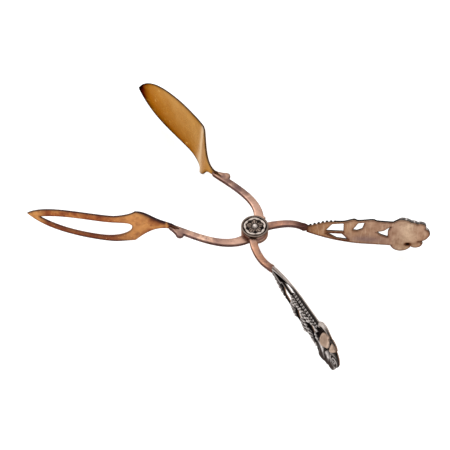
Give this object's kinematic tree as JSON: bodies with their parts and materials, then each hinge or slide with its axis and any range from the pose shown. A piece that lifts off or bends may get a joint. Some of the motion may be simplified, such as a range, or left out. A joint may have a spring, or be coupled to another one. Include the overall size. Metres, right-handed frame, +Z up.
{
  "type": "bread tongs",
  "caption": "Scissor-type serving tongs: crossed S-curved arms on a rosette pivot, an open loop blade facing a solid spatula blade, pierced rose-and-leaf handles.",
  "frame": {"origin": "centre of the flat underside of the pivot pin's tail, on the pivot axis", "axes": "+Z up along the pivot axis, +X along the lower half from its loop blade to its handle, +Y to the side on which the spatula blade opens"},
  "size_m": [0.1889, 0.1594, 0.0359],
  "materials": {
    "worn_silver_plate": "silver plate worn to pinkish metal, satin",
    "gilt": "polished gilt with brown edges",
    "copper_gilt": "worn gilt, reddish, with dark tarnish",
    "blackened_silver": "oxidised silver relief, bright on the high spots",
    "worn_back": "smooth worn plate, mottled",
    "rosette_silver": "oxidised silver"
  },
  "bodies": {
    "lower_half": {"lower_arm": "worn_silver_plate", "loop_blade": "copper_gilt", "lower_handle_front": "blackened_silver", "lower_handle_back": "worn_back", "pivot_pin": "rosette_silver", "rosette_cap": "rosette_silver", "rivet_burr": "worn_silver_plate"},
    "upper_half": {"upper_arm": "worn_silver_plate", "spatula_blade": "gilt", "upper_handle_front": "blackened_silver", "upper_handle_back": "worn_back"}
  },
  "joints": [
    {"name": "pivot", "type": "hinge", "parent": "lower_half", "child": "upper_half", "pos_m": [0, 0, 0.00365], "axis": [0, 0, 1], "range_deg": [-2, 51.9]}
  ]
}
